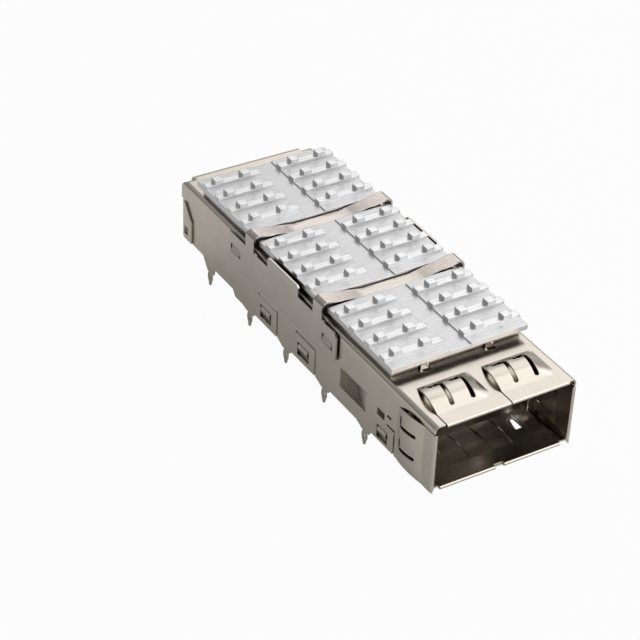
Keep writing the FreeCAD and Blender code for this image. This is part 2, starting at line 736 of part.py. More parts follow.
# Rear wall, bent down from the top behind the side walls.
flap_in = f"({half} + dims.fit_gap)"
flap_out = f"({flap_in} + {sheet})"
flat_half = f"({flap_out} - dims.rear_corner)"
bend_y = f"({length} - dims.rear_bend)"
rear_inner = f"{length} - {sheet}"
join = f"{round_y} - dims.tab_root"
rear_wall = sketch_on(shell, "rear_wall_section", "YZ_Plane")
outline(
    rear_wall,
    [(join, top), (bend_y, top), (length, rear_shoulder), (length, "dims.rear_low"),
     (rear_inner, "dims.rear_low"), (rear_inner, rear_shoulder), (bend_y, f"{top} - {sheet}"),
     (join, f"{top} - {sheet}")],
    {1: ("dims.rear_bend", (length, top)),
     5: (f"dims.rear_bend - {sheet}", (length, top))})
extrude(shell, "Pad", "rear_wall", rear_wall, f"2 * {flat_half}", symmetric=True)

# Side flaps of the rear wall, wrapped forward over the side walls.
flap_bend = sketch_on(shell, "rear_flap_bend", "XY_Plane", "dims.rear_flap_low")
flap_rear = f"{length} - dims.rear_corner"
for sign in ("-", ""):
    root = f"{sign}({flat_half} - dims.tab_root)"
    outline(
        flap_bend,
        [(root, length), (f"{sign}{flat_half}", length), (f"{sign}{flap_out}", flap_rear),
         (f"{sign}{flap_in}", flap_rear), (f"{sign}{flat_half}", rear_inner), (root, rear_inner)],
        {1: ("dims.rear_corner", (f"{sign}{flap_out}", length)),
         3: (f"dims.rear_corner - {sheet}", (f"{sign}{flap_out}", length))})
extrude(shell, "Pad", "rear_flap_bends", flap_bend, "dims.rear_flap_high - dims.rear_flap_low")
rear_flap = sketch_on(shell, "rear_flap_outline", "YZ_Plane", f"-{flap_out}")
flap_front = f"{length} - dims.rear_flap_run"
outline(rear_flap, [(flap_front, "dims.rear_flap_low"), (flap_rear, "dims.rear_flap_low"),
                    (flap_rear, "dims.rear_flap_high"),
                    (f"{flap_front} + dims.rear_flap_corner", "dims.rear_flap_step"),
                    (flap_front, "dims.rear_flap_step - dims.rear_flap_corner")])
rear_flap_pad = extrude(shell, "Pad", "rear_flap", rear_flap, sheet)
flap_window_near = f"{length} - dims.rear_window_run"
flap_window = sketch_on(shell, "rear_flap_window", "YZ_Plane", f"-{half} - dims.fit_gap / 2")
rectangle(flap_window, flap_window_near, wall_rear, "dims.rear_window_low", "dims.rear_window_high")
flap_window_cut = extrude(shell, "Pocket", "rear_flap_window_cut", flap_window, f"{sheet} + {over}")
nib_near = f"{flap_window_near} + dims.edge_gap"
flap_nib = sketch_on(shell, "rear_flap_nib", "XY_Plane", "dims.rear_window_low + dims.edge_gap")
outline(flap_nib, [(f"-{half}", nib_near), (f"-{half}", f"{wall_rear} - dims.edge_gap"),
                   (f"-{flap_out}", nib_near)])
flap_nib_pad = extrude(shell, "Pad", "rear_flap_nib_pad", flap_nib,
                       "dims.rear_window_high - dims.rear_window_low - 2 * dims.edge_gap")
mirror(shell, "right_rear_flap", [rear_flap_pad, flap_window_cut, flap_nib_pad])

# Bottom cover: the floor of the front part, with its own springs and snap tabs.
cover = new_body("bottom_cover")
hem_middle = f"{floor_top} + dims.hem_gap / 2"
cover_half = f"({inner_half} - dims.fit_gap)"
front_half = f"({half} - dims.floor_inset)"
ear_half = f"({front_half} + dims.slit_width)"

# The flat floor, with an ear that runs to the mouth on either side of the springs.
floor = sketch_on(cover, "floor_outline", "XY_Plane", "dims.cage_bottom")
outline(floor, [(f"-{ear_half}", "dims.arch_end"), (ear_half, "dims.arch_end"),
                (ear_half, "dims.floor_ear"), (cover_half, "dims.floor_ear"),
                (cover_half, "dims.floor_end"), (f"-{cover_half}", "dims.floor_end"),
                (f"-{cover_half}", "dims.floor_ear"), (f"-{ear_half}", "dims.floor_ear")])
extrude(cover, "Pad", "floor", floor, sheet)

# Floor springs, bowed downwards, with the fingers folded in over the floor.
floor_spring = sketch_on(cover, "floor_spring_section", "YZ_Plane", f"-{front_half}")
spring_section(floor_spring, lambda along, height: (along, f"dims.cage_bottom - ({height})"),
               "dims.arch_rise")
extrude(cover, "Pad", "floor_springs", floor_spring, f"2 * {front_half}")
floor_slots = sketch_on(cover, "floor_spring_slots", "XY_Plane", hem_middle)
for start in slot_starts[:3]:
    ell_slot(floor_slots, straight, start, "dims.slot_front", "dims.slot_width",
             "dims.slot_lean", "dims.slot_leg", "dims.slot_leg_width")
lens_cut(floor_slots, straight, "dims.group_split", "dims.lens_lean")
extrude(cover, "Pocket", "floor_slots_cut", floor_slots, f"dims.arch_rise + {over}")
floor_edge = sketch_on(cover, "floor_lens_edge", "XY_Plane", "dims.cage_bottom")
lens_edge(floor_edge, straight, "dims.group_split", "dims.lens_lean")
extrude(cover, "Pad", "floor_lens_sheet", floor_edge, sheet)
floor_slits = sketch_on(cover, "floor_finger_slits", "XY_Plane", f"{hem_middle} + {over}")
finger_slits(floor_slits, straight, finger_starts)
rectangle(floor_slits, "dims.group_split - dims.finger_slit / 2",
          "dims.group_split + dims.finger_slit / 2", "dims.lip_notch_depth", finger_over)
peep_sides = ("dims.peep_x - dims.peep_width / 2", "dims.peep_x + dims.peep_width / 2",
              "dims.peep_y - dims.peep_length / 2", "dims.peep_y + dims.peep_length / 2")
rectangle(floor_slits, *peep_sides)
extrude(cover, "Pocket", "floor_fingers", floor_slits, over)

# A sight hole in place of the last slot, set to the rear and right of the one in the finger over it.
peep = sketch_on(cover, "sight_hole_outline", "XY_Plane", hem_middle)
left, right, peep_near, peep_far = peep_sides
rectangle(peep, f"{left} + dims.peep_over_x", f"{right} + dims.peep_over_x",
          f"{peep_near} + dims.peep_over_y", f"{peep_far} + dims.peep_over_y")
extrude(cover, "Pocket", "sight_hole", peep, f"dims.arch_rise + {over}")
lip_notch = sketch_on(cover, "lip_notch_outline", "XY_Plane", f"{floor_top} + {over}")
rectangle(lip_notch, "dims.lip_notch_left", "dims.lip_notch_right", f"-{over}", "dims.lip_notch_depth")
extrude(cover, "Pocket", "lip_notch", lip_notch, f"2 * {over}")

# Snap tabs that stand up inside the walls and catch in the windows of the flaps.
tabs = sketch_on(cover, "tab_outlines", "YZ_Plane", f"-{cover_half}")
for near_edge, far_edge, low, high in tab_windows:
    rectangle(tabs, f"{near_edge} - dims.tab_side", f"{far_edge} + dims.tab_side",
              "dims.cage_bottom", f"{high} + dims.tab_rise")
tab_pads = [extrude(cover, "Pad", "tabs", tabs, sheet)]
proud = f"-{half} - dims.tab_proud"
for number, (near_edge, far_edge, low, high) in enumerate(tab_windows, 1):
    nib_top = f"{high} - dims.nib_gap - dims.nib_lead"
    nib = sketch_on(cover, f"tab_nib_{number}", "XZ_Plane", f"-({near_edge} + dims.tab_side)")
    outline(nib, [(f"-{cover_half}", f"{low} + dims.nib_gap"), (f"-{cover_half}", f"{high} - dims.nib_gap"),
                  (proud, nib_top), (proud, f"{nib_top} - dims.nib_face")])
    tab_pads.append(extrude(cover, "Pad", f"nib_{number}", nib,
                            f"{far_edge} - {near_edge} - 2 * dims.tab_side", reverse=True))
mirror(cover, "right_tabs", tab_pads)

# Heat sink: one machined aluminium plate with cross ridges and studs, floating in the opening.
sink = new_body("heat_sink")
sink_half = f"({half} - dims.sink_side)"
base_half = f"({sink_half} - dims.sink_inset)"
base_level = f"{top} + dims.sink_rest"

flange = sketch_on(sink, "flange_outline", "XY_Plane", f"{top} + dims.flange_low")
rectangle(flange, f"-{sink_half}", sink_half, "dims.sink_front", sink_rear)
extrude(sink, "Pad", "flange", flange, "dims.flange_high - dims.flange_low")
base = sketch_on(sink, "base_outline", "XY_Plane", base_level)
rectangle(base, f"-{base_half}", base_half, "dims.sink_front + dims.sink_end_inset",
          f"{sink_rear} - dims.sink_end_inset")
extrude(sink, "Pad", "base", base, "dims.flange_low - dims.sink_rest")

# Pedestal that reaches through the opening and meets the module, with a sloped lead-in in front.
pedestal = sketch_on(sink, "pedestal_section", "YZ_Plane")
pedestal_low = f"{top} - {sheet} - dims.pedestal_drop"
pedestal_front = f"{near} + dims.pedestal_gap"
pedestal_rear = f"{far} - dims.pedestal_gap"
outline(pedestal, [(pedestal_front, base_level), (pedestal_rear, base_level),
                   (pedestal_rear, pedestal_low),
                   (f"{pedestal_front} + dims.pedestal_ramp", pedestal_low),
                   (pedestal_front, f"{pedestal_low} + dims.pedestal_lead")])
extrude(sink, "Pad", "pedestal", pedestal, f"2 * ({side} - dims.pedestal_gap)", symmetric=True)

# Two cross grooves for the straps and the lane along the middle. The rows of ridges are spread
# evenly over the sink, and each groove takes the place of one row between two fields.
ridge_rear = f"({sink_rear} - dims.ridge_end_rear)"
row_front = f"({ridge_rear} - dims.ridge_width)"
row_run = f"({row_front} - dims.sink_front - dims.ridge_end_front)"
row_count = "(dims.field_count * (dims.rows_per_field + 1) - 1)"
ridge_pitch = f"({row_run} / ({row_count} - 1))"
missing_rows = ["dims.rows_per_field", "(2 * dims.rows_per_field + 1)"]
groove_middles = [f"({ridge_rear} - dims.ridge_width / 2 - {row} * {ridge_pitch})" for row in missing_rows]
grooves = sketch_on(sink, "groove_outline", "XY_Plane", f"{top} + dims.flange_high")
for middle in groove_middles:
    rectangle(grooves, f"-{sink_half} - {over}", f"{sink_half} + {over}",
              f"{middle} - dims.groove_width / 2", f"{middle} + dims.groove_width / 2")
extrude(sink, "Pocket", "grooves", grooves, "dims.flange_high - dims.groove_floor")
lane = sketch_on(sink, "lane_outline", "XY_Plane", f"{top} + dims.flange_high")
rectangle(lane, "-dims.lane_half", "dims.lane_half", f"dims.sink_front - {over}", f"{sink_rear} + {over}")
extrude(sink, "Pocket", "lane", lane, "dims.lane_depth")

# One ridge with its two studs, repeated in rows of four, in three fields and on both sides.
ridge = sketch_on(sink, "ridge_outline", "XY_Plane", f"{top} + dims.flange_high")
rectangle(ridge, "dims.lane_half", sink_half, row_front, ridge_rear)
ridge_pad = extrude(sink, "Pad", "ridge", ridge, "dims.ridge_high - dims.flange_high")
studs = sketch_on(sink, "stud_outline", "XY_Plane", f"{top} + dims.ridge_high")
for middle in ("dims.stud_near", f"({sink_half} - dims.stud_edge)"):
    rectangle(studs, f"{middle} - dims.stud_width / 2", f"{middle} + dims.stud_width / 2",
              row_front, ridge_rear)
stud_pad = extrude(sink, "Pad", "studs", studs, "dims.stud_high - dims.ridge_high")
rows = sink.newObject("PartDesign::MultiTransform", "ridge_fields")
rows.Originals = [ridge_pad, stud_pad]
steps = []
for name, count, spacing in (
        ("rows", "dims.rows_per_field", ridge_pitch),
        ("fields", "dims.field_count", f"{ridge_pitch} * (dims.rows_per_field + 1)")):
    step = sink.newObject("PartDesign::LinearPattern", name)
    step.Direction = (origin(sink, "Y_Axis"), [""])
    step.Reversed = True
    step.Mode = "Spacing"
    step.setExpression("Offset", spacing)
    step.setExpression("Occurrences", count)
    steps.append(step)
both_sides = sink.newObject("PartDesign::Mirrored", "both_sides")
both_sides.MirrorPlane = (origin(sink, "YZ_Plane"), [""])
rows.Transformations = steps + [both_sides]
sink.Tip = rows

# Heat sink clip: one bent spring sheet with two straps over the sink and a plate on each wall.
clip = new_body("heat_sink_clip")
plate_in = f"({half} + dims.clip_gap)"
plate_out = f"({plate_in} + dims.clip_thick)"

plate = sketch_on(clip, "plate_outline", "YZ_Plane", f"-{plate_out}")
rounding = "dims.clip_corner"
guide_step = "dims.guide_corner"
outline(
    plate,
    [(f"dims.clip_front + {rounding}", "dims.clip_low"), ("dims.clip_rear", "dims.clip_low"),
     ("dims.clip_rear", "dims.clip_high"),
     ("dims.guide_rear", "dims.clip_high"),
     ("dims.guide_rear", f"dims.guide_high - {guide_step}"),
     (f"dims.guide_rear - {guide_step}", "dims.guide_high"),
     (f"dims.guide_front + {guide_step}", "dims.guide_high"),
     ("dims.guide_front", f"dims.guide_high - {guide_step}"),
     ("dims.guide_front", "dims.clip_high"),
     (f"dims.clip_front + {rounding}", "dims.clip_high"),
     ("dims.clip_front", f"dims.clip_high - {rounding}"),
     ("dims.clip_front", f"dims.clip_low + {rounding}")],
    {9: (rounding, ("dims.clip_front", "dims.clip_high")),
     11: (rounding, ("dims.clip_front", "dims.clip_low"))})
for near_edge in clip_windows:
    rectangle(plate, near_edge, f"{near_edge} + dims.clip_window_length",
              "dims.clip_window_low", "dims.clip_window_high")
plate_pad = extrude(clip, "Pad", "plate", plate, "dims.clip_thick")
mirror(clip, "right_plate", [plate_pad])

# Straps: up from the plate, over a bend, down a slope and flat along the groove's floor.
slope = "(dims.strap_slope * 1 deg)"
bend = "dims.strap_bend"
bend_inner = f"({bend} - dims.clip_thick)"
strap_x = f"({plate_out} - {bend})"
strap_top = f"({top} + dims.groove_floor + dims.strap_rest + dims.clip_thick)"
end_x = f"({strap_x} - {bend} * sin({slope}))"
end_z = f"(dims.strap_shoulder + {bend} * cos({slope}))"
flat_x = f"({end_x} - ({end_z} - {strap_top}) / tan({slope}))"
end_x_in = f"({strap_x} - {bend_inner} * sin({slope}))"
end_z_in = f"(dims.strap_shoulder + {bend_inner} * cos({slope}))"
flat_x_in = f"({flat_x} + dims.clip_thick * tan({slope} / 2))"
strap_low = f"{strap_top} - dims.clip_thick"
root = "dims.clip_high - dims.clip_root"
shoulder_z = "dims.strap_shoulder"
crown = f"dims.strap_shoulder + {bend}"
for number, middle in enumerate(groove_middles, 1):
    strap = sketch_on(clip, f"strap_{number}_section", "XZ_Plane", f"-{middle}")
    outline(
        strap,
        [(plate_out, root), (plate_out, shoulder_z), (end_x, end_z), (flat_x, strap_top),
         (f"-{flat_x}", strap_top), (f"-{end_x}", end_z), (f"-{plate_out}", shoulder_z),
         (f"-{plate_out}", root), (f"-{plate_in}", root), (f"-{plate_in}", shoulder_z),
         (f"-{end_x_in}", end_z_in), (f"-{flat_x_in}", strap_low), (flat_x_in, strap_low),
         (end_x_in, end_z_in), (plate_in, shoulder_z), (plate_in, root)],
        {1: (bend, (plate_out, crown)), 5: (bend, (f"-{plate_out}", crown)),
         9: (bend_inner, (f"-{plate_out}", crown)), 13: (bend_inner, (plate_out, crown))})
    extrude(clip, "Pad", f"strap_{number}", strap, "dims.strap_width", symmetric=True)

doc.recompute()

# Every feature must have built, every pocket must have cut, and each piece must be one solid.
pieces = [shell, cover, sink, clip]
for item in doc.Objects:
    if "Invalid" in item.State or "Error" in item.State:
        raise RuntimeError(f"{item.Name} did not build: {item.State}")
    if item.TypeId == "PartDesign::Pocket":
        if item.Shape.Volume > item.BaseFeature.Shape.Volume - 1e-4:
            raise RuntimeError(f"{item.Name} cuts nothing")
    if item.TypeId in ("PartDesign::Pad", "PartDesign::AdditiveLoft") and item.BaseFeature is not None:
        if item.Shape.Volume < item.BaseFeature.Shape.Volume + 1e-4:
            raise RuntimeError(f"{item.Name} adds nothing")
for piece in pieces:
    if piece.Shape.isNull() or not piece.Shape.isValid() or len(piece.Shape.Solids) != 1:
        raise RuntimeError(f"{piece.Label} is not one valid solid")

os.makedirs("parts", exist_ok=True)
for piece in pieces:
    piece.Shape.exportStep(f"parts/{piece.Label}.step")
    box = piece.Shape.BoundBox
    print(f"{piece.Label}: volume {piece.Shape.Volume:.2f}, "
          f"x {box.XMin:.2f} to {box.XMax:.2f}, y {box.YMin:.2f} to {box.YMax:.2f}, "
          f"z {box.ZMin:.2f} to {box.ZMax:.2f}")
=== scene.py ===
import bmesh
import bpy
import numpy as np
from mathutils import Matrix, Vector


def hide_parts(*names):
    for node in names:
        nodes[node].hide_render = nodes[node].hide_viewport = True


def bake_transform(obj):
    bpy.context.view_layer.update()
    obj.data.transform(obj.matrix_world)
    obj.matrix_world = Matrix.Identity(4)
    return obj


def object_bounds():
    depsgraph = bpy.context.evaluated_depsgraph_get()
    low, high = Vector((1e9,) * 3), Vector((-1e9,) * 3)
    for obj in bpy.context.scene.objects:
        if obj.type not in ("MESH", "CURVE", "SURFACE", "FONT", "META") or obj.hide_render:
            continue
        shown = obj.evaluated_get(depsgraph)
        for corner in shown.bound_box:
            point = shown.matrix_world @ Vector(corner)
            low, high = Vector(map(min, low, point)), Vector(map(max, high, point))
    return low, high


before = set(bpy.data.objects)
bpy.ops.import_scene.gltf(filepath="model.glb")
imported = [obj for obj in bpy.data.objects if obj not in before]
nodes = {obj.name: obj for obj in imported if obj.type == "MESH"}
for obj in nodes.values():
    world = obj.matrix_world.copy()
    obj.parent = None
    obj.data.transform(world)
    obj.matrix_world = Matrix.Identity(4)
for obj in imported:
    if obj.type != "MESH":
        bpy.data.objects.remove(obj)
cad_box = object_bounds()

# The studio: a pale table top that the pins of the cage touch, a white surround, and three
# softboxes, at the right rear, overhead on the right and at the right front. The camera stands
# where the photograph was taken, to the left of the mouth and well above, with a long lens.


def linear(hex_colour):
    """Linear RGBA of an sRGB hex colour: each channel c becomes ((c + 0.055) / 1.055) ** 2.4, or
    c / 12.92 where it is nearly black."""
    srgb = np.array([int(hex_colour[i:i + 2], 16) for i in (1, 3, 5)]) / 255
    rgb = np.where(srgb <= 0.04045, srgb / 12.92, ((srgb + 0.055) / 1.055) ** 2.4)
    return (*rgb.tolist(), 1.0)


def add(tree, kind, inputs=None, **settings):
    """Add one node, set its settings, then fill its inputs with values or link other sockets."""
    made = tree.nodes.new(kind)
    for name, value in settings.items():
        setattr(made, name, value)
    for name, value in (inputs or {}).items():
        if isinstance(value, bpy.types.NodeSocket):
            tree.links.new(value, made.inputs[name])
        else:
            made.inputs[name].default_value = value
    return made


def mesh_object(name, points, faces):
    """A new object at the origin: points holds one place a row, and each row of faces lists the
    numbers of the points round one face."""
    mesh = bpy.data.meshes.new(name)
    mesh.from_pydata(points.tolist(), [], faces.tolist())
    made = bpy.data.objects.new(name, mesh)
    bpy.context.scene.collection.objects.link(made)
    return made


# The table top is a flat square grid at the height of the pins' tips. Each cell between two rows
# and two columns of its points is one quad.
TABLE_HALF = 3.0
SIDE_POINTS = 3
side = np.linspace(-TABLE_HALF, TABLE_HALF, SIDE_POINTS)
across, along = np.meshgrid(side, side)
points = np.stack((across, along, np.full_like(across, cad_box[0][2])), -1)
index = np.arange(points[..., 0].size).reshape(SIDE_POINTS, SIDE_POINTS)
quads = np.stack((index[:-1, :-1], index[:-1, 1:], index[1:, 1:], index[1:, :-1]), -1)
table = mesh_object("table_top", points.reshape(-1, 3), quads.reshape(-1, 4))


def white_share(tree, seen, mirrored):
    """Share of plain white in a backdrop: seen for a ray from the camera, mirrored for one that
    comes by a reflection or through glass, and none for the light that the backdrop gives."""
    rays = add(tree, "ShaderNodeLightPath")
    direct = add(tree, "ShaderNodeMath", {0: rays.outputs["Is Camera Ray"], 1: seen},
                 operation="MULTIPLY")
    by_way = add(tree, "ShaderNodeMath", {0: rays.outputs["Is Glossy Ray"],
                                          1: rays.outputs["Is Transmission Ray"]},
                 operation="MAXIMUM")
    share = add(tree, "ShaderNodeMath", {0: by_way.outputs[0], 1: mirrored, 2: direct.outputs[0]},
                operation="MULTIPLY_ADD")
    return share.outputs[0]


# Matt white laminate: even and pale, brightened to white for the camera so that the table runs
# into the surround, and partly so in reflections. The object's shadow stays on it.
PALE_LAMINATE = "#E6E6E4"
PLAIN_WHITE = "#FFFFFF"
TABLE_SEEN = 0.96
TABLE_MIRRORED = 0.15
laminate = bpy.data.materials.new("white_laminate")
laminate.use_nodes = True
tree = laminate.node_tree
tree.nodes.clear()
matt = add(tree, "ShaderNodeBsdfDiffuse", {"Color": linear(PALE_LAMINATE)})
white = add(tree, "ShaderNodeEmission", {"Color": linear(PLAIN_WHITE), "Strength": 1.0})
mixed = add(tree, "ShaderNodeMixShader", {0: white_share(tree, TABLE_SEEN, TABLE_MIRRORED),
                                          1: matt.outputs[0], 2: white.outputs[0]})
add(tree, "ShaderNodeOutputMaterial", {"Surface": mixed.outputs[0]})
table.data.materials.append(laminate)

# The surround is white for the camera. For the light it gives it is a grey room, palest above the
# right rear, where a softbox hangs, and dim on the side that the photograph is taken from.
ROOM_SEEN = 1.0
ROOM_MIRRORED = 0.10
PALE_SIDE = (0.72, 0.28, 0.63)
DIM_COSINE = -0.4
ROOM_DIM = 0.08
ROOM_PALE = 0.40
surround = bpy.data.worlds.new("white_surround")
surround.use_nodes = True
bpy.context.scene.world = surround
tree = surround.node_tree
tree.nodes.clear()
direction = add(tree, "ShaderNodeTexCoord").outputs["Generated"]
towards = add(tree, "ShaderNodeVectorMath", {0: direction, 1: PALE_SIDE}, operation="DOT_PRODUCT")
room_light = add(tree, "ShaderNodeMapRange", {
    "Value": towards.outputs["Value"], "From Min": DIM_COSINE, "From Max": 1.0,
    "To Min": ROOM_DIM, "To Max": ROOM_PALE})
room = add(tree, "ShaderNodeBackground", {"Color": linear(PLAIN_WHITE),
                                          "Strength": room_light.outputs[0]})
white = add(tree, "ShaderNodeBackground", {"Color": linear(PLAIN_WHITE), "Strength": 1.0})
mixed = add(tree, "ShaderNodeMixShader", {0: white_share(tree, ROOM_SEEN, ROOM_MIRRORED),
                                          1: room.outputs[0], 2: white.outputs[0]})
add(tree, "ShaderNodeOutputWorld", {"Surface": mixed.outputs[0]})


def placed(eye, right, back):
    """World matrix of a lamp or camera at eye that looks against back: its axes are right, the
    cross product of back and right as its upward one, and back."""
    axes = np.column_stack((right, np.cross(back, right), back))
    return Matrix.Translation(eye) @ Matrix(axes.tolist()).to_4x4()


# Softboxes: each is a lit rectangle, level from left to right, that faces the middle of the cage.
CAGE_MIDDLE = (0.0, 0.029, 0.006)
for name, eye, width, height, watts_per_square_metre in (
        ("rear_softbox", (0.42, 0.28, 0.375), 0.68, 0.30, 2.35),
        ("overhead_softbox", (0.28, -0.10, 0.56), 0.80, 0.52, 2.7),
        ("front_softbox", (0.34, -0.46, 0.29), 0.40, 0.50, 3.6)):
    lamp = bpy.data.lights.new(name, "AREA")
    lamp.shape = "RECTANGLE"
    lamp.size = width
    lamp.size_y = height
    lamp.energy = watts_per_square_metre * width * height
    back = np.subtract(eye, CAGE_MIDDLE)
    back = back / np.linalg.norm(back)
    right = np.cross((0.0, 0.0, 1.0), back)
    right = right / np.linalg.norm(right)
    softbox = bpy.data.objects.new(name, lamp)
    softbox.matrix_world = placed(eye, right, back)
    bpy.context.scene.collection.objects.link(softbox)

# Camera: turned to the right of the cage's length, tilted down and rolled by these angles in
# degrees, which were fitted to the cage's own edges in the photograph.
SENSOR_MM = 36.0
LENS_MM = 114.363
NEAREST = 0.01
FARTHEST = 20.0
CAMERA_EYE = (-0.11308, -0.13857, 0.14388)
TURN_TILT_ROLL = (32.4696, 34.9520, 2.5338)
camera_data = bpy.data.cameras.new("camera")
camera_data.sensor_width = SENSOR_MM
camera_data.lens = LENS_MM
camera_data.clip_start = NEAREST
camera_data.clip_end = FARTHEST
turn, tilt, roll = np.radians(TURN_TILT_ROLL)
ahead = np.array((np.cos(tilt) * np.sin(turn), np.cos(tilt) * np.cos(turn), -np.sin(tilt)))
level_right = np.array((np.cos(turn), -np.sin(turn), 0.0))
right = np.cos(roll) * level_right + np.sin(roll) * np.cross(level_right, ahead)
camera = bpy.data.objects.new("camera", camera_data)
camera.matrix_world = placed(CAMERA_EYE, right, -ahead)
bpy.context.scene.collection.objects.link(camera)
bpy.context.scene.camera = camera
bpy.context.scene.view_settings.view_transform = "Standard"

# Cage shell: the folded upper sheet with top, walls, rear wall, pins and contact springs. It is
# stamped and bent from nickel silver strip, and stands on the board by its press-fit pins.
MM = 0.001

# Inputs and output of a Mix node for colours, by number because each name stands there
# several times.
SHARE, UNDER, OVER, MIXED = 0, 6, 7, 2


def bare_material(name):
    """A new material, its node tree, emptied, and the socket of the place on the piece in
    metres."""
    material = bpy.data.materials.new(name)
    material.use_nodes = True
    tree = material.node_tree
    tree.nodes.clear()
    return material, tree, add(tree, "ShaderNodeTexCoord").outputs["Object"]


def worn_and_highlit_edges(tree, radius_mm, most):
    """The normal of a surface whose edges are rounded to a radius, and the share of wear and
    painted
    highlight there: none where the rounding turns the normal by less than 10 degrees, rising to
    most at 37 degrees, which are cosines of 0.985 and 0.80."""
    rounded = add(tree, "ShaderNodeBevel", {"Radius": radius_mm * MM}, samples=6)
    shape = add(tree, "ShaderNodeNewGeometry")
    facing = add(tree, "ShaderNodeVectorMath", {0: rounded.outputs[0], 1: shape.outputs["Normal"]},
                 operation="DOT_PRODUCT")
    worn = add(tree, "ShaderNodeMapRange", {"Value": facing.outputs["Value"], "From Min": 0.985,
                                            "From Max": 0.80, "To Max": most})
    return rounded.outputs[0], worn.outputs[0]


# Nickel silver, cold rolled and lightly plated: a warm satin white metal with fine rolling lines
# along the strip, faint cloudy stains, and bright burnished edges where the shear cut it, with a
# painted highlight on them. Painted shade colours the sheet warm brown where it is shut in,
# and near black in the closest places.
DULL_SHEET = "#DCD4C8"
BRIGHT_SHEET = "#E5DDD2"
ROLLING_LINE = "#CFC6B8"
SHEARED_EDGE_AND_HIGHLIGHT = "#F3EDE2"
WARM_PAINTED_SHADE = "#8A7752"
DEEP_PAINTED_SHADE = "#2A2117"
CLOUD_MM = 5.0
# Real rolling lines and specks are a few hundredths of a millimetre, too fine to show in the
# render, so both are drawn as coarse as these widths.
LINE_MM = 0.09
LINE_RUN_MM = 4.0
SPECK_MM = 0.16
LINE_DEPTH_MM = 0.01
SHEARED_EDGE_MM = 0.07
# Metal within this distance shuts a place in, which brings on the painted shade.
SHELTER_MM = 1.7
nickel_silver, tree, place = bare_material("rolled_nickel_silver")
clouds = add(tree, "ShaderNodeTexNoise", {
    "Vector": place, "Scale": 1 / (CLOUD_MM * MM), "Detail": 4.0, "Roughness": 0.55})
along_strip = add(tree, "ShaderNodeMapping", {"Vector": place, "Scale": (
    1 / (LINE_MM * MM), 1 / (LINE_RUN_MM * MM), 1 / (LINE_MM * MM))})
rolling = add(tree, "ShaderNodeTexNoise", {
    "Vector": along_strip.outputs[0], "Scale": 1.0, "Detail": 3.0})
specks = add(tree, "ShaderNodeTexNoise", {
    "Vector": place, "Scale": 1 / (SPECK_MM * MM), "Detail": 2.0})
rounded, edge = worn_and_highlit_edges(tree, SHEARED_EDGE_MM, most=1.0)
tone = add(tree, "ShaderNodeMapRange", {
    "Value": clouds.outputs[0], "From Min": 0.3, "From Max": 0.7})
sheet_colour = add(tree, "ShaderNodeMix", {
    SHARE: tone.outputs[0], UNDER: linear(DULL_SHEET), OVER: linear(BRIGHT_SHEET)},
    data_type="RGBA")
lines = add(tree, "ShaderNodeMapRange", {
    "Value": rolling.outputs[0], "From Min": 0.35, "From Max": 0.65, "To Max": 0.2})
lined_colour = add(tree, "ShaderNodeMix", {
    SHARE: lines.outputs[0], UNDER: sheet_colour.outputs[MIXED], OVER: linear(ROLLING_LINE)},
    data_type="RGBA")
# Painted highlight: the burnished edges are coloured brighter.
edge_colour = add(tree, "ShaderNodeMix", {
    SHARE: edge, UNDER: lined_colour.outputs[MIXED], OVER: linear(SHEARED_EDGE_AND_HIGHLIGHT)},
    data_type="RGBA")
# Painted shade: shut-in places turn warm brown, and near black in the closest ones.
shelter = add(tree, "ShaderNodeAmbientOcclusion", {"Distance": SHELTER_MM * MM}, samples=8)
warm_shade_share = add(tree, "ShaderNodeMapRange", {
    "Value": shelter.outputs["AO"], "From Min": 0.34, "From Max": 0.52, "To Min": 0.75,
    "To Max": 0.0})
warm_shaded_colour = add(tree, "ShaderNodeMix", {
    SHARE: warm_shade_share.outputs[0], UNDER: edge_colour.outputs[MIXED], OVER: linear(WARM_PAINTED_SHADE)},
    data_type="RGBA")
painted_shade_share = add(tree, "ShaderNodeMapRange", {
    "Value": shelter.outputs["AO"], "From Min": 0.22, "From Max": 0.38, "To Min": 0.95,
    "To Max": 0.0})
painted_shade_colour = add(tree, "ShaderNodeMix", {
    SHARE: painted_shade_share.outputs[0], UNDER: warm_shaded_colour.outputs[MIXED], OVER: linear(DEEP_PAINTED_SHADE)},
    data_type="RGBA")
sheen = add(tree, "ShaderNodeMapRange", {
    "Value": clouds.outputs[0], "From Min": 0.3, "From Max": 0.7, "To Min": 0.20, "To Max": 0.25})
streak = add(tree, "ShaderNodeMapRange", {
    "Value": rolling.outputs[0], "From Min": 0.3, "From Max": 0.7, "To Min": -0.01,
    "To Max": 0.015})
gloss = add(tree, "ShaderNodeMath", {0: sheen.outputs[0], 1: streak.outputs[0]}, operation="ADD")
relief = add(tree, "ShaderNodeMath", {0: rolling.outputs[0], 1: specks.outputs[0]},
             operation="ADD")
grain = add(tree, "ShaderNodeBump", {
    "Strength": 0.06, "Distance": LINE_DEPTH_MM * MM, "Height": relief.outputs[0],
    "Normal": rounded})
metal = add(tree, "ShaderNodeBsdfPrincipled", {
    "Base Color": painted_shade_colour.outputs[MIXED], "Metallic": 1.0, "Roughness": gloss.outputs[0],
    "Normal": grain.outputs[0]})
add(tree, "ShaderNodeOutputMaterial", {"Surface": metal.outputs[0]})
nodes["cage_shell"].data.materials.clear()
nodes["cage_shell"].data.materials.append(nickel_silver)

# Bottom cover: the floor behind the mouth, a second sheet from the same strip. Its tabs snap into
# the windows of the walls from below, and its lips close the mouth's lower edge.
nodes["bottom_cover"].data.materials.clear()
nodes["bottom_cover"].data.materials.append(nickel_silver)
